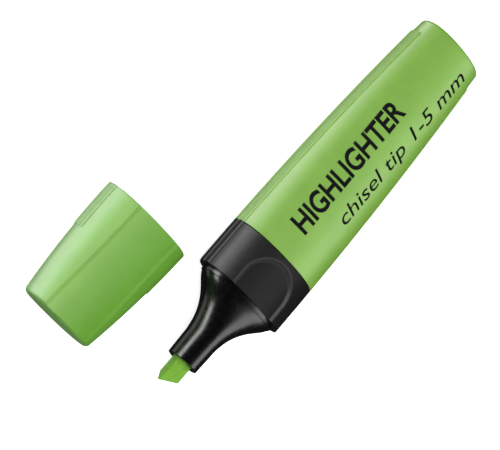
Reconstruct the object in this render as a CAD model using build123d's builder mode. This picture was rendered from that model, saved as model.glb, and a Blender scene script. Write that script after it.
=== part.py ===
# A capped flat-oval highlighter with its cap lying beside it, in millimetres.
# +Z is up, the nib points towards +X, and the cap lies on the -Y side of the pen.
import os
from math import atan, cos, pi, sin

from build123d import *

os.makedirs("parts", exist_ok=True)

# ---- flat-oval outline shared by every outer shell ----
FULLNESS = 2.2  # 2 is an ellipse, more is squarer
PEN_HALF_W = 13.80  # at the widest station
PEN_WIDEST = 7.0  # behind the collar's front edge
PEN_CURVE_W = 5.5e-4  # how fast the width falls away either side of it
PEN_HALF_T = 8.55  # at the collar's front edge
PEN_TAPER = 0.0257  # half thickness lost per millimetre towards the tail, along straight broad faces
CAP_HALF_W, CAP_HALF_T = 13.05, 8.30  # at the mouth
CAP_CURVE_W = 2.40e-3
CAP_TAPER = 0.0312
PANEL_HALF = 7.0  # shallow panel down each broad face of the cap, as wide as the thumb recess
PANEL_SLOPE = 1.0  # width of its sloping sides
PANEL_DEPTH = 0.25

# ---- where the two halves lie, each flat on the straight line under its lower broad face ----
PEN_X, PEN_Y = 24.57, 15.92  # centre of the grip collar's front edge
PEN_PITCH = atan(PEN_TAPER)  # the slimmer tail dips
PEN_Z = PEN_HALF_T * cos(PEN_PITCH)
CAP_X, CAP_Y = 27.67, -16.68  # centre of the cap's mouth
CAP_PITCH = -atan(CAP_TAPER)  # the slimmer closed end dips
CAP_Z = (CAP_HALF_T - PANEL_DEPTH) * cos(CAP_PITCH)

# ---- stations along the pen, measured back from the collar's front edge ----
COLLAR_LENGTH = 13.5
TAIL_END = 85.0
BAND_END = 80.5
LIP = 1.6  # the collar's inward lip, trapped between the nose cone's rim and the barrel's neck
SHANK_END = 10.0
PLUG_START, PLUG_FLOOR = 80.2, 83.0

# ---- walls and clearances ----
COLLAR_WALL = 1.35
COLLAR_EASE = 0.30  # chamfer of the collar's rear edge, where it meets the barrel
NECK_WALL = 1.05
SHANK_WALL = 0.90
BARREL_WALL = 1.25
CAP_WALL = 1.00
FIT_GAP = 0.05  # between pieces pressed or snapped together

# ---- raised side bands ----
BAND_HALF_HEIGHT = 2.15
BAND_PROUD = 0.15
BAND_SLOPE = 0.06  # how much lower it is beside its bevels
BAND_DEPTH = 0.60  # how far the band's body reaches into the wall
BAND_BEVEL = 0.25  # along its long edges
BAND_GROOVE = 0.25  # half width and depth of the groove along its middle

# ---- thumb recess ----
RECESS_RADIUS = 7.0
RECESS_CENTRE = 4.2
RECESS_DEPTH = 0.70
RECESS_BEVEL = 0.60

# ---- nose cone, measured forward from the collar's front edge ----
RIM_LENGTH = 1.25
RIM_HALF_W, RIM_HALF_T = 12.20, 7.45
FUNNEL = [  # forward station, half width, half thickness, fullness
    (1.25, 11.90, 7.15, 2.20),
    (2.60, 11.00, 6.85, 2.18),
    (4.40, 9.30, 6.15, 2.14),
    (6.90, 7.25, 5.45, 2.08),
    (9.40, 5.85, 5.00, 2.03),
    (11.90, 4.98, 4.80, 2.00),
    (14.40, 4.54, 4.54, 2.00),
]
NOZZLE = [  # forward station and radius, straight between them; the last step eases the lip's edge
    (14.40, 4.54),
    (21.50, 4.33),
    (21.60, 4.23),
]
NOSE_WALL = 1.35

# ---- nib ----
NIB_HALF_W, NIB_HALF_T = 2.50, 1.50
NIB_CORNER = 0.55
NIB_LONG_TIP, NIB_SHORT_TIP = 28.9, 26.3  # the slanted writing edge, cap side and far side
NIB_BACK = 8.0  # the nib's tail ends this far behind the collar's front edge
NIB_EDGE_LOW, NIB_EDGE_HIGH = 0.65, 1.15
NIB_UNDER_BEVEL, NIB_TOP_BEVEL = 2.6, 3.6
VENT_WIDTH, VENT_DEPTH = 0.8, 0.7  # air slots above and below the nib

# ---- ink reservoir ----
WAD_HALF_W, WAD_HALF_T = 8.70, 4.30
FILM = 0.20
WAD_FRONT, WAD_BACK = 4.0, 79.5

RIB_START, RIB_END = 17.0, 79.0
RIB_WIDTH, RIB_SPACING = 1.0, 4.8

# ---- cap ----
CAP_LENGTH = 32.7
CAP_FLOOR = 1.4
MOUTH_DEPTH = 2.4
BEAD = 0.5
CAP_BAND_END = 13.0
SEAL_START = 14.6
SEAL_RADIUS, SEAL_WALL = 4.58, 0.90
SEAL_FLANGE_RADIUS, SEAL_FLANGE = 6.0, 1.0


def axis_plane(x, y, z, pitch):
    """A plane across the long axis: its x is sideways, its y is up and its z points to +X."""
    return Plane(origin=(x, y, z), x_dir=(0, 1, 0), z_dir=(cos(pitch), 0, sin(pitch)))


PEN = axis_plane(PEN_X, PEN_Y, PEN_Z, PEN_PITCH)
CAP = axis_plane(CAP_X, CAP_Y, CAP_Z, CAP_PITCH)


def oval(plane, half_w, half_t, power=FULLNESS):
    """One flat-oval face on the plane."""
    steps = 24
    points = []
    for i in range(steps):
        a = 2 * pi * i / steps
        c, s = cos(a), sin(a)
        u = half_w * abs(c) ** (2 / power) * (1 if c >= 0 else -1)
        v = half_t * abs(s) ** (2 / power) * (1 if s >= 0 else -1)
        points.append((u, v))
    with BuildSketch(plane) as section:
        with BuildLine():
            Spline(*points, periodic=True)
        make_face()
    return section.sketch


def pen_size(back):
    """Half width and half thickness of the pen's outside, back from the collar's front edge."""
    return PEN_HALF_W - PEN_CURVE_W * (back - PEN_WIDEST) ** 2, PEN_HALF_T - PEN_TAPER * back


def cap_size(depth):
    """Half width and half thickness of the cap's outside, in from its mouth."""
    return CAP_HALF_W - CAP_CURVE_W * depth**2, CAP_HALF_T - CAP_TAPER * depth


def pen_sections(start, end, inset, count=5):
    """Ovals along the pen from one station back to another, shrunk by the inset."""
    faces = []
    for i in range(count):
        back = start + (end - start) * i / (count - 1)
        w, t = pen_size(back)
        faces.append(oval(PEN.offset(-back), w - inset, t - inset))
    return faces


def cap_sections(start, end, inset, count=5):
    """Ovals along the cap from one depth to another, shrunk by the inset."""
    faces = []
    for i in range(count):
        depth = start + (end - start) * i / (count - 1)
        w, t = cap_size(depth)
        faces.append(oval(CAP.offset(depth), w - inset, t - inset))
    return faces


def band_face(plane, half_w, side, proud):
    """Section of a raised side band: upright, bevelled, with a groove along its middle."""
    crest = half_w + proud
    upper = [
        (crest - BAND_GROOVE, 0),
        (crest, BAND_GROOVE),
        (crest - BAND_SLOPE, BAND_HALF_HEIGHT - BAND_BEVEL),
        (crest - BAND_SLOPE - BAND_BEVEL, BAND_HALF_HEIGHT),
        (half_w - BAND_DEPTH, BAND_HALF_HEIGHT),
    ]
    lower = [(u, -v) for u, v in reversed(upper[1:])]
    with BuildSketch(plane) as section:
        with BuildLine():
            Polyline(*[(side * u, v) for u, v in lower + upper], close=True)
        make_face()
    return section.sketch


def pen_band(start, end, side, count=5):
    """Sections of the pen's side band between two stations."""
    faces = []
    for i in range(count):
        back = start + (end - start) * i / (count - 1)
        faces.append(band_face(PEN.offset(-back), pen_size(back)[0], side, BAND_PROUD))
    return faces


def cap_band(side, count=4):
    """Sections of the cap's side band, from the mouth in."""
    faces = []
    for i in range(count):
        depth = CAP_BAND_END * i / (count - 1)
        faces.append(band_face(CAP.offset(depth), cap_size(depth)[0], side, BAND_PROUD))
    return faces


def arch(plane, radius):
    """Upside-down U, open towards the collar's front edge, drawn on a level plane."""
    with BuildSketch(plane) as section:
        with Locations((-RECESS_CENTRE, 0)):
            Circle(radius)
        with Locations((-RECESS_CENTRE / 2 + 1.0, 0)):
            Rectangle(RECESS_CENTRE + 2.0, 2 * radius)
    return section.sketch


def finish(piece, name):
    """Name the piece and write its file."""
    piece.label = name
    export_step(piece, f"parts/{name}.step")


# level plane through the pen's axis: its x runs forward and its y sideways
PEN_LEVEL = Plane(origin=PEN.origin, x_dir=PEN.z_dir, z_dir=PEN.y_dir)

# ================= pen body =================

neck_w, neck_t = [half - COLLAR_WALL - FIT_GAP for half in pen_size(COLLAR_LENGTH / 2)]
shank_w, shank_t = [half - NECK_WALL - FIT_GAP for half in (neck_w, neck_t)]

# ribs that hold the ink wad off the barrel's wall
with BuildPart() as rib_cage:
    loft(pen_sections(RIB_START, RIB_END, BARREL_WALL / 2))
    with BuildSketch(PEN.offset(-RIB_END)):
        with Locations((-RIB_SPACING, 0), (0, 0), (RIB_SPACING, 0)):
            Rectangle(RIB_WIDTH, 3 * PEN_HALF_T)
        Rectangle(3 * PEN_HALF_W, RIB_WIDTH)
    extrude(amount=RIB_END - RIB_START, mode=Mode.INTERSECT)
    extrude(
        oval(PEN.offset(-RIB_END), WAD_HALF_W + FILM + 0.1, WAD_HALF_T + FILM + 0.1),
        amount=RIB_END - RIB_START,
        mode=Mode.SUBTRACT,
    )

# barrel: green shell with a neck inside the collar
with BuildPart() as barrel:
    loft(pen_sections(COLLAR_LENGTH, TAIL_END, 0))
    fillet(barrel.faces().sort_by(Axis(PEN.origin, PEN.z_dir))[0].edges(), radius=0.9)
    for side in (-1, 1):
        loft(pen_band(COLLAR_LENGTH, BAND_END, side))
    extrude(oval(PEN.offset(-COLLAR_LENGTH), neck_w, neck_t), amount=COLLAR_LENGTH - LIP)
    loft(pen_sections(COLLAR_LENGTH + 2.0, TAIL_END, BARREL_WALL), mode=Mode.SUBTRACT)
    extrude(
        oval(PEN.offset(-COLLAR_LENGTH - 2.0), neck_w - NECK_WALL, neck_t - NECK_WALL),
        amount=COLLAR_LENGTH + 2.0,
        mode=Mode.SUBTRACT,
    )
    add(rib_cage.part)
finish(barrel.part, "barrel")

# tail plug: closes the barrel, with a flat outer face
with BuildPart() as tail_plug:
    loft(pen_sections(PLUG_START, TAIL_END, BARREL_WALL + FIT_GAP, 3))
    loft(pen_sections(PLUG_START, PLUG_FLOOR, BARREL_WALL + FIT_GAP + 0.9, 3), mode=Mode.SUBTRACT)
finish(tail_plug.part, "tail_plug")

# tool that sinks the thumb recess evenly into both broad faces
with BuildPart() as recess_tool:
    extrude(arch(PEN_LEVEL, RECESS_RADIUS), amount=2 * PEN_HALF_T, both=True)
    loft(pen_sections(-2.0, COLLAR_LENGTH, RECESS_DEPTH), mode=Mode.SUBTRACT)


def off_axis(edge):
    """How far the middle of an edge stands above or below the pen's axis."""
    return abs((edge @ 0.5 - PEN.origin).dot(PEN.y_dir))


def is_recess_wall(face):
    """True for the upright walls of the thumb recess."""
    normal = face.normal_at()
    return abs(normal.dot(PEN.y_dir)) < 0.01 and abs(normal.dot(PEN.z_dir)) < 0.999 or (
        face.geom_type == GeomType.CYLINDER
    )


# grip collar: black sleeve over the barrel's neck, trapped by the nose cone's rim
with BuildPart() as grip_collar:
    eased_from = COLLAR_LENGTH - COLLAR_EASE
    loft(pen_sections(0, eased_from, 0, 3))
    eased_w, eased_t = pen_size(COLLAR_LENGTH)
    loft(
        [
            oval(PEN.offset(-eased_from), *pen_size(eased_from)),
            oval(PEN.offset(-COLLAR_LENGTH), eased_w - COLLAR_EASE, eased_t - COLLAR_EASE),
        ]
    )
    for side in (-1, 1):
        loft(pen_band(0, COLLAR_LENGTH, side, 3))
    extrude(
        oval(PEN.offset(-COLLAR_LENGTH), neck_w + FIT_GAP, neck_t + FIT_GAP),
        amount=COLLAR_LENGTH - LIP,
        mode=Mode.SUBTRACT,
    )
    extrude(
        oval(PEN.offset(-LIP), shank_w + FIT_GAP, shank_t + FIT_GAP),
        amount=LIP,
        mode=Mode.SUBTRACT,
    )
    add(recess_tool.part, mode=Mode.SUBTRACT)
    walls = grip_collar.faces(Select.LAST).filter_by(is_recess_wall)
    chamfer([wall.edges().sort_by(off_axis)[-1] for wall in walls], length=RECESS_BEVEL)
finish(grip_collar.part, "grip_collar")

# nose cone: snap rim, funnel and nozzle in one, with a shank pressed into the barrel's neck
with BuildPart() as nose_cone:
    extrude(oval(PEN, RIM_HALF_W, RIM_HALF_T), amount=RIM_LENGTH)
    fillet(nose_cone.faces().sort_by(Axis(PEN.origin, PEN.z_dir))[-1].edges(), radius=0.2)
    loft([oval(PEN.offset(u), w, t, power) for u, w, t, power in FUNNEL])
    loft([oval(PEN.offset(u), radius, radius, 2.0) for u, radius in NOZZLE], ruled=True)
    extrude(oval(PEN, shank_w, shank_t), amount=-SHANK_END)
    extrude(
        oval(PEN.offset(-SHANK_END), shank_w - SHANK_WALL, shank_t - SHANK_WALL),
        amount=SHANK_END + FUNNEL[0][0],
        mode=Mode.SUBTRACT,
    )
    loft(
        [oval(PEN.offset(u), w - NOSE_WALL, t - NOSE_WALL, power) for u, w, t, power in FUNNEL[:5]],
        mode=Mode.SUBTRACT,
    )
    with BuildSketch(PEN.offset(FUNNEL[4][0] - 1.0)):
        RectangleRounded(2 * (NIB_HALF_W + FIT_GAP), 2 * (NIB_HALF_T + FIT_GAP), NIB_CORNER)
        Rectangle(VENT_WIDTH, 2 * (NIB_HALF_T + VENT_DEPTH))
    extrude(amount=NOZZLE[-1][0], mode=Mode.SUBTRACT)
finish(nose_cone.part, "nose_cone")


def nib_point(sideways, up, forward):
    """A point given in the pen's own axes."""
    return PEN.origin + PEN.x_dir * sideways + PEN.y_dir * up + PEN.z_dir * forward


def nib_cut(up_at_edge, up_behind, behind):
    """Plane through the slanted writing edge that reaches another height some way behind it."""
    long_tip = nib_point(-NIB_HALF_W, up_at_edge, NIB_LONG_TIP)
    edge = nib_point(NIB_HALF_W, up_at_edge, NIB_SHORT_TIP) - long_tip
    slope = nib_point(-NIB_HALF_W, up_behind, NIB_LONG_TIP - behind) - long_tip
    return Plane(origin=long_tip, x_dir=edge, z_dir=edge.cross(slope))


# nib: pressed felt, cut to a slanted chisel edge
with BuildPart() as nib:
    with BuildSketch(PEN.offset(-NIB_BACK)):
        RectangleRounded(2 * NIB_HALF_W, 2 * NIB_HALF_T, NIB_CORNER)
    extrude(amount=NIB_BACK + NIB_LONG_TIP)
    tail_edges = nib.faces().sort_by(Axis(PEN.origin, PEN.z_dir))[0].edges()
    chamfer(tail_edges, length=0.5)
    split(bisect_by=nib_cut(0, 1.0, 0), keep=Keep.BOTTOM)
    split(bisect_by=nib_cut(NIB_EDGE_HIGH, NIB_HALF_T, NIB_TOP_BEVEL), keep=Keep.BOTTOM)
    split(bisect_by=nib_cut(NIB_EDGE_LOW, -NIB_HALF_T, NIB_UNDER_BEVEL), keep=Keep.TOP)
finish(nib.part, "nib")

# ink reservoir: a fibre wad with a pocket for the nib's tail
with BuildPart() as ink_reservoir:
    extrude(oval(PEN.offset(-WAD_BACK), WAD_HALF_W, WAD_HALF_T), amount=WAD_BACK - WAD_FRONT)
    with BuildSketch(PEN.offset(-WAD_FRONT)):
        RectangleRounded(2 * (NIB_HALF_W + FIT_GAP), 2 * (NIB_HALF_T + FIT_GAP), NIB_CORNER)
    extrude(amount=-(NIB_BACK + FIT_GAP - WAD_FRONT), mode=Mode.SUBTRACT)
finish(ink_reservoir.part, "ink_reservoir")

# film wrapped round the wad
with BuildPart() as reservoir_sleeve:
    length = WAD_BACK - WAD_FRONT - 1.0
    back_plane = PEN.offset(0.5 - WAD_BACK)
    extrude(oval(back_plane, WAD_HALF_W + FILM, WAD_HALF_T + FILM), amount=length)
    extrude(
        oval(back_plane, WAD_HALF_W + 0.02, WAD_HALF_T + 0.02), amount=length, mode=Mode.SUBTRACT
    )
finish(reservoir_sleeve.part, "reservoir_sleeve")

# ================= cap =================


def height_at(u, half_w, half_t):
    """How high the flat oval stands at a sideways distance from its middle."""
    return half_t * (1 - (u / half_w) ** FULLNESS) ** (1 / FULLNESS)


def panel_face(depth, side):
    """Section of the tool that clears one broad face down to the panel, with sloping sides."""
    w, t = cap_size(depth)
    foot_u, rim_u = PANEL_HALF - PANEL_SLOPE / 2, PANEL_HALF + PANEL_SLOPE / 2
    foot = height_at(foot_u, w - PANEL_DEPTH, t - PANEL_DEPTH)
    rim = height_at(rim_u, w, t)
    wide_u, wide = 2 * rim_u - foot_u, 2 * rim - foot
    top = 1.5 * CAP_HALF_T
    with BuildSketch(CAP.offset(depth)) as section:
        with BuildLine():
            Polyline(
                (-wide_u, side * top),
                (-wide_u, side * wide),
                (-foot_u, side * foot),
                (foot_u, side * foot),
                (wide_u, side * wide),
                (wide_u, side * top),
                close=True,
            )
        make_face()
    return section.sketch


# tool that sinks the panel evenly into both broad faces
with BuildPart() as panel_tool:
    for side in (-1, 1):
        loft([panel_face(depth, side) for depth in (-1.0, CAP_LENGTH / 2, CAP_LENGTH + 1.0)])
    loft(cap_sections(-1.0, CAP_LENGTH + 1.0, PANEL_DEPTH), mode=Mode.SUBTRACT)

# cap shell: open at the mouth, with a snap bead and short side bands
with BuildPart() as cap_shell:
    loft(cap_sections(0, CAP_LENGTH, 0))
    mouth_rim, *_, closed_end = cap_shell.faces().sort_by(Axis(CAP.origin, CAP.z_dir))
    fillet(closed_end.edges(), radius=1.3)
    fillet(mouth_rim.edges(), radius=0.35)
    add(panel_tool.part, mode=Mode.SUBTRACT)
    for side in (-1, 1):
        loft(cap_band(side))
    loft(cap_sections(0, CAP_LENGTH - CAP_FLOOR, CAP_WALL), mode=Mode.SUBTRACT)
    extrude(oval(CAP, RIM_HALF_W - 0.05, RIM_HALF_T - 0.05), amount=BEAD, mode=Mode.SUBTRACT)
    extrude(
        oval(CAP.offset(BEAD), RIM_HALF_W + FIT_GAP, RIM_HALF_T + FIT_GAP),
        amount=MOUTH_DEPTH - BEAD,
        mode=Mode.SUBTRACT,
    )
finish(cap_shell.part, "cap_shell")

# inner seal: a tube on a flange that closes round the nozzle when the cap is on
with BuildPart() as cap_inner_seal:
    floor = CAP_LENGTH - CAP_FLOOR
    with BuildSketch(CAP.offset(floor)):
        Circle(SEAL_FLANGE_RADIUS)
    extrude(amount=-SEAL_FLANGE)
    with BuildSketch(CAP.offset(SEAL_START)):
        Circle(SEAL_RADIUS + SEAL_WALL)
    extrude(amount=floor - SEAL_START)
    with BuildSketch(CAP.offset(SEAL_START)):
        Circle(SEAL_RADIUS)
    extrude(amount=floor - SEAL_FLANGE - SEAL_START, mode=Mode.SUBTRACT)
    mouth = cap_inner_seal.faces().sort_by(Axis(CAP.origin, CAP.z_dir))[0]
    chamfer(mouth.edges().sort_by(SortBy.LENGTH)[0], length=0.4)
finish(cap_inner_seal.part, "cap_inner_seal")
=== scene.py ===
import math

import bmesh
import bpy
from mathutils import Matrix, Vector
from mathutils.bvhtree import BVHTree


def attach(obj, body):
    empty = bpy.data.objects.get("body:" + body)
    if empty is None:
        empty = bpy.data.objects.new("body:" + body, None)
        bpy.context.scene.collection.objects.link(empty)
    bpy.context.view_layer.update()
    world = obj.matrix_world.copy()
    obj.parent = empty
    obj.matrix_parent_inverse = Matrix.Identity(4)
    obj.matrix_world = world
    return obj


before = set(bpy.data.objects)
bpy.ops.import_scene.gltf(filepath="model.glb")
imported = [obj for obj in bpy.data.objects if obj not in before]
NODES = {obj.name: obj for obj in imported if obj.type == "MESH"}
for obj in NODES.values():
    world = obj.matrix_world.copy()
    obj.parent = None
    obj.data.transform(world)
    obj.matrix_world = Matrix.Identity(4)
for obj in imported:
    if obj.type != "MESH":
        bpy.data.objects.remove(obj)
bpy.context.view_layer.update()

MM = 0.001

# ---- the pen's axis, from the middle of the collar's front edge; sizes in millimetres ----
PEN_X = 24.57
PEN_Y = 15.92
PEN_HALF_T = 8.55  # half thickness at the collar's front edge
PEN_TAPER = 0.0257  # half thickness lost per millimetre towards the tail, which tilts the pen
PEN_PITCH = math.atan(PEN_TAPER)
PEN_BASE = Vector((PEN_X, PEN_Y, PEN_HALF_T * math.cos(PEN_PITCH))) * MM
FORWARD = Vector((math.cos(PEN_PITCH), 0.0, math.sin(PEN_PITCH)))
SIDEWAYS = Vector((0.0, 1.0, 0.0))
UPWARD = FORWARD.cross(SIDEWAYS)

# ---- the collar's thumb recess, in millimetres ----
RECESS_RADIUS = 7.0
RECESS_CENTRE = 4.2  # behind the collar's front edge
# the recess's sloping border is painted lighter, a painted highlight where the bevel catches the
# light
RIM_HIGHLIGHT_MIDDLE = 0.40  # the middle of the painted highlight on its border, outwards from the radius
RIM_HIGHLIGHT_FULL = 0.35  # painted highlight at full strength up to this far either side
RIM_HIGHLIGHT_NONE = 0.80  # and none from here

# ---- printing on the barrel, in millimetres ----
PRINT_GRID = 1.0  # the letters are cut this fine, so that they bend with the barrel
PRINT_PROUD = 0.03
PRINT_THICK = 0.02
RAY_HEIGHT = 20.0  # the letters are dropped onto the barrel from here
LETTER_STEPS = 5  # points along each curved stretch of a letter

# ---- finishes: spans of the noise that are stretched to a whole range, and shares of a tone ----
NOISE_SPAN = (0.30, 0.70)
MOTTLE_SPAN = (0.35, 0.65)
FIBRE_SPAN = (0.32, 0.68)
WHOLE = (0.0, 1.0)
MOTTLE_DARKER = 0.94
SPECKLE_DARKER = (0.75, 0.75, 0.78)
SPECKLE_LIGHTER = (1.2, 1.2, 1.22)
SPECKLE_COARSER = 0.3  # the gloss varies over longer distances than the grain
# the painted highlight on the recess border is a trace bluer
RIM_HIGHLIGHT_BLUER = 1.03

# ---- camera, in metres ----
CAMERA_PLACE = Vector((0.11502, -0.24808, 0.47492))
CAMERA_TARGET = Vector((0.01028, 0.00494, 0.0090))
CAMERA_UP = Vector((-0.7355, -0.6509, -0.1881))
CAMERA_SENSOR = 36.0
CAMERA_LENS = 158.2
CAMERA_CLIP = (0.01, 20.0)

# ---- floor and light, in metres and watts ----
FLOOR_HALF = 3.0
FLOOR_DROP = 0.00002  # just clear of the faces that rest on it
FLOOR_ALBEDO = 0.72
FLOOR_GLOW = 0.85
ROOM_GLOW = 0.025
OVERHEAD_HEIGHT = 1.2
OVERHEAD_SIDE = 1.6
OVERHEAD_POWER = 25.0
LEFT, RIGHT = -1, 1  # left is the cap's side of the pen
STRIP_DISTANCE = {LEFT: 0.60, RIGHT: 0.65}
STRIP_REACH = 0.60  # a strip runs this far past the middle, towards the nib and towards the tail
SHORT_REACH = 0.28  # towards the tail, where the gloss fades
WARM_WHITE = (1.0, 0.72, 0.62)

GREEN_NODES = ("barrel", "tail_plug", "cap_shell", "cap_inner_seal")
BLACK_NODES = ("grip_collar", "nose_cone")


# ---------------------------------------------------------------- node helpers
class Paint:
    """One Principled material, built from procedural nodes."""

    def __init__(self, name, **values):
        self.mat = bpy.data.materials.new(name)
        self.mat.use_nodes = True
        self.tree = self.mat.node_tree
        self.shader = self.tree.nodes["Principled BSDF"]
        self.place = self.node("ShaderNodeTexCoord").outputs["Object"]
        for key, value in values.items():
            self.shader.inputs[key.replace("_", " ")].default_value = value

    def node(self, kind, **settings):
        """A new node with these settings."""
        made = self.tree.nodes.new(kind)
        for key, value in settings.items():
            setattr(made, key, value)
        return made

    def link(self, source, target):
        """Join an output to an input."""
        self.tree.links.new(source, target)

    def noise(self, scale, detail=3.0, roughness=0.5, stretch=(1, 1, 1)):
        """Noise in object space; scale is in features per metre."""
        mapping = self.node("ShaderNodeMapping")
        mapping.inputs["Scale"].default_value = stretch
        self.link(self.place, mapping.inputs["Vector"])
        texture = self.node("ShaderNodeTexNoise")
        texture.inputs["Scale"].default_value = scale
        texture.inputs["Detail"].default_value = detail
        texture.inputs["Roughness"].default_value = roughness
        self.link(mapping.outputs["Vector"], texture.inputs["Vector"])
        return texture.outputs["Fac"]

    def remap(self, value, span, result):
        """The value's span becomes the result's span, eased and clamped."""
        made = self.node("ShaderNodeMapRange", interpolation_type="SMOOTHSTEP")
        made.inputs["From Min"].default_value = span[0]
        made.inputs["From Max"].default_value = span[1]
        made.inputs["To Min"].default_value = result[0]
        made.inputs["To Max"].default_value = result[1]
        self.link(value, made.inputs["Value"])
        return made.outputs["Result"]

    def maths(self, operation, a, b=0.0):
        """A sum on sockets or numbers; b is ignored where the operation takes one value."""
        made = self.node("ShaderNodeMath", operation=operation)
        for socket, value in zip(made.inputs, (a, b)):
            if isinstance(value, (int, float)):
                socket.default_value = value
            else:
                self.link(value, socket)
        return made.outputs["Value"]

    def mix(self, factor, a, b):
        """Colour a where the factor is 0, b where it is 1."""
        made = self.node("ShaderNodeMix", data_type="RGBA")
        self.link(factor, made.inputs["Factor"])
        for key, value in (("A", a), ("B", b)):
            socket = [s for s in made.inputs if s.name == key and s.type == "RGBA"][0]
            if isinstance(value, tuple):
                socket.default_value = value
            else:
                self.link(value, socket)
        return [s for s in made.outputs if s.type == "RGBA"][0]

    def bump(self, height, strength, distance):
        """Fine relief; distance is in metres."""
        made = self.node("ShaderNodeBump")
        made.inputs["Strength"].default_value = strength
        made.inputs["Distance"].default_value = distance
        self.link(height, made.inputs["Height"])
        self.link(made.outputs["Normal"], self.shader.inputs["Normal"])

    def colour(self, source):
        """Let a socket set the colour."""
        self.link(source, self.shader.inputs["Base Color"])

    def rough(self, source):
        """Let a socket set the roughness."""
        self.link(source, self.shader.inputs["Roughness"])


# ---------------------------------------------------------------- finishes
def green_plastic(name, body, rough, gloss):
    """Satin moulding in one green, with faint mottling and a fine skin."""
    paint = Paint(name, IOR=1.49, Specular_IOR_Level=gloss)
    mottle = paint.noise(scale=160, detail=4.0)
    darker = tuple(MOTTLE_DARKER * c for c in body) + (1,)
    paint.colour(paint.mix(paint.remap(mottle, MOTTLE_SPAN, WHOLE), body + (1,), darker))
    paint.rough(paint.remap(paint.noise(scale=900, detail=2.0), NOISE_SPAN, rough))
    paint.bump(paint.noise(scale=2600, detail=2.0), strength=0.06, distance=0.00003)
    return paint.mat


def black_plastic(name, tone, rough, grain, relief, gloss):
    """Black moulding with an even spark-eroded grain."""
    paint = Paint(name, IOR=1.5, Specular_IOR_Level=gloss)
    speckle = paint.noise(scale=grain, detail=3.0, roughness=0.6)
    dark = tuple(share * tone for share in SPECKLE_DARKER) + (1,)
    light = tuple(share * tone for share in SPECKLE_LIGHTER) + (1,)
    paint.colour(paint.mix(paint.remap(speckle, NOISE_SPAN, WHOLE), dark, light))
    paint.rough(paint.remap(paint.noise(scale=grain * SPECKLE_COARSER), NOISE_SPAN, rough))
    paint.bump(speckle, strength=relief, distance=0.00004)
    return paint


def paint_rim_highlight(paint, tone):
    """Painted highlight: lighten the sloping border of the thumb recess, on both broad faces."""
    split = paint.node("ShaderNodeSeparateXYZ")
    paint.link(paint.place, split.inputs["Vector"])
    along = paint.node("ShaderNodeVectorMath", operation="DOT_PRODUCT")
    paint.link(paint.place, along.inputs[0])
    along.inputs[1].default_value = FORWARD
    centre = PEN_BASE - FORWARD * RECESS_CENTRE * MM
    behind = paint.maths("SUBTRACT", centre.dot(FORWARD), along.outputs["Value"])
    behind = paint.maths("MAXIMUM", behind, 0.0)
    across = paint.maths("SUBTRACT", split.outputs["Y"], centre.y)
    squares = paint.maths(
        "ADD",
        paint.maths("POWER", behind, 2.0),
        paint.maths("MULTIPLY", across, across),
    )
    radius = paint.maths("SQRT", squares)
    out = paint.maths("SUBTRACT", radius, (RECESS_RADIUS + RIM_HIGHLIGHT_MIDDLE) * MM)
    off_middle = paint.maths("ABSOLUTE", out)
    # painted highlight, strongest along the middle of the recess border
    rim_highlight = paint.remap(off_middle, (RIM_HIGHLIGHT_FULL * MM, RIM_HIGHLIGHT_NONE * MM), (1.0, 0.0))
    plain = paint.shader.inputs["Base Color"].links[0].from_socket
    paint.colour(paint.mix(rim_highlight, plain, (tone, tone, RIM_HIGHLIGHT_BLUER * tone, 1)))


def felt(name, pale, deep):
    """Pressed fibre: short streaks along the pen and a rough nap."""
    paint = Paint(name, IOR=1.4, Specular_IOR_Level=0.15, Sheen_Weight=0.10)
    fibres = paint.noise(scale=2200, detail=5.0, roughness=0.65, stretch=(0.22, 1, 1))
    paint.colour(paint.mix(paint.remap(fibres, FIBRE_SPAN, WHOLE), deep, pale))
    paint.rough(paint.remap(fibres, NOISE_SPAN, (0.85, 0.98)))
    paint.bump(fibres, strength=0.5, distance=0.00008)
    return paint.mat


def film(name):
    """Clear wrapping film, hidden inside the barrel."""
    paint = Paint(name, IOR=1.5, Roughness=0.12, Alpha=0.35)
    paint.shader.inputs["Base Color"].default_value = (0.85, 0.90, 0.80, 1)
    paint.bump(paint.noise(scale=700), strength=0.2, distance=0.00005)
    return paint.mat


def soft_seal(name):
    """Natural polyethylene: milky and slightly waxy."""
    paint = Paint(name, IOR=1.5)
    cloud = paint.noise(scale=400, detail=3.0)
    paint.colour(paint.mix(cloud, (0.66, 0.70, 0.62, 1), (0.80, 0.84, 0.76, 1)))
    paint.rough(paint.remap(cloud, NOISE_SPAN, (0.42, 0.55)))
    paint.bump(paint.noise(scale=3000), strength=0.1, distance=0.00003)
    return paint.mat


def printing_ink(name):
    """Pad-printed black ink, a little uneven."""
    paint = Paint(name, IOR=1.45, Specular_IOR_Level=0.3)
    patch = paint.noise(scale=1500, detail=3.0)
    paint.colour(paint.mix(patch, (0.004, 0.004, 0.005, 1), (0.008, 0.008, 0.009, 1)))
    paint.rough(paint.remap(patch, NOISE_SPAN, (0.38, 0.50)))
    return paint.mat


def dress(material, *names):
    """Give the nodes this one finish."""
    for name in names:
        mesh = NODES[name].data
        mesh.materials.clear()
        mesh.materials.append(material)


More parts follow.
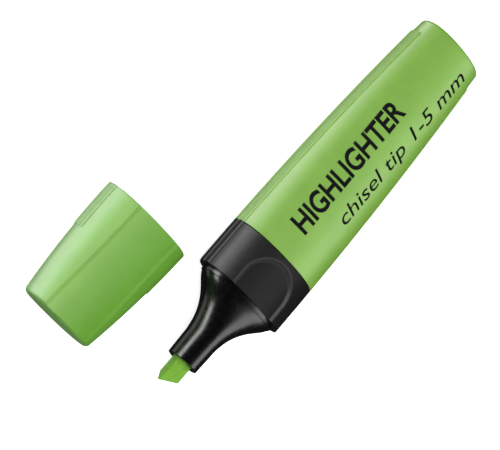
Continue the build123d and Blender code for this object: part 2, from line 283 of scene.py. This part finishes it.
def make_finishes():
    """Give every node its finish."""
    shell = green_plastic("green_shell", (0.174, 0.371, 0.037), rough=(0.35, 0.41), gloss=0.74)
    cap = green_plastic("green_cap", (0.121, 0.328, 0.028), rough=(0.44, 0.50), gloss=1.0)
    grip = black_plastic(
        "black_grip", tone=0.008, rough=(0.38, 0.44), grain=3200, relief=0.10, gloss=0.54
    )
    # painted highlight on the sloping border of the thumb recess
    paint_rim_highlight(grip, tone=0.030)
    nose = black_plastic(
        "black_nose", tone=0.0005, rough=(0.23, 0.28), grain=2600, relief=0.03, gloss=0.74
    )
    nib = felt("felt_nib", pale=(0.20, 0.43, 0.055, 1), deep=(0.15, 0.36, 0.035, 1))
    wad = felt("ink_wad", pale=(0.30, 0.55, 0.10, 1), deep=(0.24, 0.46, 0.07, 1))
    dress(shell, "barrel", "tail_plug")
    dress(cap, "cap_shell")
    dress(grip.mat, "grip_collar")
    dress(nose.mat, "nose_cone")
    dress(nib, "nib")
    dress(wad, "ink_reservoir")
    dress(film("clear_film"), "reservoir_sleeve")
    dress(soft_seal("seal_plastic"), "cap_inner_seal")


# ---------------------------------------------------------------- printing on the barrel
def barrel_surface():
    """The barrel's faces, ready to be hit by rays."""
    mesh = NODES["barrel"].data
    points = [v.co.copy() for v in mesh.vertices]
    faces = [tuple(p.vertices) for p in mesh.polygons]
    return BVHTree.FromPolygons(points, faces)


def lettering(words, height, weight, slant, width):
    """Flat outline of the words, in millimetres.

    height is the letter size, weight thickens the strokes and width is the length of the line.
    """
    curve = bpy.data.curves.new("words", "FONT")
    curve.body = words
    curve.size = height
    curve.offset = weight
    curve.shear = slant
    curve.resolution_u = LETTER_STEPS
    holder = bpy.data.objects.new("words", curve)
    bpy.context.collection.objects.link(holder)
    evaluated = holder.evaluated_get(bpy.context.evaluated_depsgraph_get())
    mesh = bpy.data.meshes.new_from_object(evaluated)
    bpy.data.objects.remove(holder)
    bpy.data.curves.remove(curve)
    low = min(v.co.x for v in mesh.vertices)
    high = max(v.co.x for v in mesh.vertices)
    for v in mesh.vertices:
        v.co.x = (v.co.x - low) * width / (high - low)
    return mesh


def lay_on_barrel(surface, flat, name, start, side):
    """Bend a flat drawing onto the barrel's upper face, read towards the tail, in millimetres.

    start is how far behind the collar's front edge its left end is, and side is how far its foot
    is to the side of the pen's axis.
    """
    work = bmesh.new()
    work.from_mesh(flat)
    for axis in (Vector((1, 0, 0)), Vector((0, 1, 0))):
        reach = max(abs(v.co.dot(axis)) for v in work.verts)
        steps = int(reach / PRINT_GRID) + 1
        for i in range(-steps, steps + 1):
            everything = work.verts[:] + work.edges[:] + work.faces[:]
            cut = axis * i * PRINT_GRID
            bmesh.ops.bisect_plane(work, geom=everything, plane_co=cut, plane_no=axis)
    for v in work.verts:
        back = start + v.co.x
        across = side - v.co.y
        above = PEN_BASE + (-FORWARD * back + SIDEWAYS * across + UPWARD * RAY_HEIGHT) * MM
        hit = surface.ray_cast(above, -UPWARD)[0]
        v.co = hit + UPWARD * PRINT_PROUD * MM
    bmesh.ops.recalc_face_normals(work, faces=work.faces)
    if sum(f.normal.dot(UPWARD) for f in work.faces) < 0:
        bmesh.ops.reverse_faces(work, faces=work.faces)
    mesh = bpy.data.meshes.new(name)
    work.to_mesh(mesh)
    work.free()
    piece = bpy.data.objects.new(name, mesh)
    bpy.context.collection.objects.link(piece)
    skin = piece.modifiers.new("thickness", "SOLIDIFY")
    skin.thickness = PRINT_THICK * MM
    skin.offset = -1.0
    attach(piece, "pen")
    return piece


def make_print():
    """Generic words in place of the maker's own."""
    surface = barrel_surface()
    ink = printing_ink("printing_ink")
    large = lettering("HIGHLIGHTER", height=8.0, weight=0.20, slant=0.0, width=41.0)
    small = lettering("chisel tip 1-5 mm", height=6.0, weight=0.01, slant=0.15, width=50.0)
    pieces = (
        lay_on_barrel(surface, large, "print_large", start=21.0, side=-1.4),
        lay_on_barrel(surface, small, "print_small", start=30.5, side=6.3),
    )
    for piece in pieces:
        piece.data.materials.clear()
        piece.data.materials.append(ink)


# ---------------------------------------------------------------- camera
def make_camera():
    """High on the cap's side, rolled so that the tail points to the upper right."""
    look = (CAMERA_TARGET - CAMERA_PLACE).normalized()
    right = look.cross(CAMERA_UP).normalized()
    turn = Matrix((right, right.cross(look), -look)).transposed()
    data = bpy.data.cameras.new("camera")
    data.sensor_width = CAMERA_SENSOR
    data.lens = CAMERA_LENS
    data.clip_start, data.clip_end = CAMERA_CLIP
    camera = bpy.data.objects.new("camera", data)
    bpy.context.collection.objects.link(camera)
    camera.matrix_world = Matrix.Translation(CAMERA_PLACE) @ turn.to_4x4()
    bpy.context.scene.camera = camera


# ---------------------------------------------------------------- stage and light
def make_floor():
    """Plain pale floor, which the gloss doesn't show and which lets the low strips shine past."""
    half = FLOOR_HALF
    corners = [(-half, -half, 0), (half, -half, 0), (half, half, 0), (-half, half, 0)]
    mesh = bpy.data.meshes.new("floor")
    mesh.from_pydata(corners, [], [(0, 1, 2, 3)])
    floor = bpy.data.objects.new("floor", mesh)
    floor.location = (0, 0, -FLOOR_DROP)
    bpy.context.collection.objects.link(floor)
    floor.visible_glossy = False
    floor.visible_shadow = False
    paint = Paint("floor_paper", Roughness=0.9, Specular_IOR_Level=0.0)
    paint.shader.inputs["Base Color"].default_value = (FLOOR_ALBEDO,) * 3 + (1,)
    paint.shader.inputs["Emission Color"].default_value = (1, 1, 1, 1)
    paint.shader.inputs["Emission Strength"].default_value = FLOOR_GLOW
    mesh.materials.append(paint.mat)


def make_room():
    """Dim, even surroundings."""
    world = bpy.data.worlds.new("studio")
    world.use_nodes = True
    background = world.node_tree.nodes["Background"]
    background.inputs["Color"].default_value = (1, 1, 1, 1)
    background.inputs["Strength"].default_value = ROOM_GLOW
    bpy.context.scene.world = world


def area_light(name, place, target, size, power):
    """One soft box pointed at a place."""
    data = bpy.data.lights.new(name, "AREA")
    data.shape = "RECTANGLE"
    data.size, data.size_y = size
    data.energy = power
    lamp = bpy.data.objects.new(name, data)
    lamp.location = place
    toward = (Vector(target) - Vector(place)).normalized()
    lamp.rotation_euler = toward.to_track_quat("-Z", "Y").to_euler()
    bpy.context.collection.objects.link(lamp)
    return lamp


def strip_box(name, side, span, radiance, nodes=(), back=STRIP_REACH):
    """Long soft box beside the pen that is seen only in the gloss.

    span is its lowest and highest elevation in degrees. nodes are the ones that it shows on, all
    when none is named. back is how far it runs past the middle towards the tail.
    """
    low, high = span
    lift = math.radians((low + high) / 2)
    spread = math.radians((high - low) / 2)
    distance = STRIP_DISTANCE[side]
    length = STRIP_REACH + back
    height = 2 * distance * math.tan(spread)
    middle = (STRIP_REACH - back) / 2
    place = (middle, side * distance * math.cos(lift), distance * math.sin(lift))
    power = radiance * math.pi * length * height
    lamp = area_light(name, place, (middle, 0, 0), (length, height), power)
    lamp.visible_diffuse = False
    if nodes:
        group = bpy.data.collections.new(name + "_on")
        for node in nodes:
            group.objects.link(NODES[node])
        lamp.light_linking.receiver_collection = group
    return lamp


def make_light():
    """A broad soft box overhead for the light, and strips either side for the gloss."""
    overhead = area_light(
        "overhead",
        (0.0, 0.0, OVERHEAD_HEIGHT),
        (0, 0, 0),
        (OVERHEAD_SIDE, OVERHEAD_SIDE),
        OVERHEAD_POWER,
    )
    overhead.visible_glossy = False
    middle_nodes = ("grip_collar", *GREEN_NODES)
    strip_box("left_low", LEFT, span=(1, 28), radiance=5.1, back=SHORT_REACH)
    strip_box("nose_left", LEFT, span=(22, 34), radiance=3.2, nodes=("nose_cone",))
    strip_box(
        "left_middle", LEFT, span=(28, 50), radiance=3.4, nodes=middle_nodes, back=SHORT_REACH
    )
    strip_box("left_under", LEFT, span=(-50, 1), radiance=4.8, nodes=GREEN_NODES)
    strip_box("left_under_dim", LEFT, span=(-50, 1), radiance=0.9, nodes=BLACK_NODES)
    cap_fill = strip_box("cap_fill", LEFT, span=(50, 86), radiance=1.8, nodes=("cap_shell",))
    cap_fill.data.color = WARM_WHITE
    strip_box("right_box", RIGHT, span=(22, 52), radiance=3.1, nodes=("barrel", "tail_plug"))
    strip_box("nose_right", RIGHT, span=(22, 52), radiance=2.4, nodes=("nose_cone",))
    strip_box("recess_fill", RIGHT, span=(38, 66), radiance=0.65, nodes=("grip_collar",))
    bpy.context.scene.view_settings.view_transform = "Standard"


make_finishes()
make_print()
make_camera()
make_floor()
make_room()
make_light()
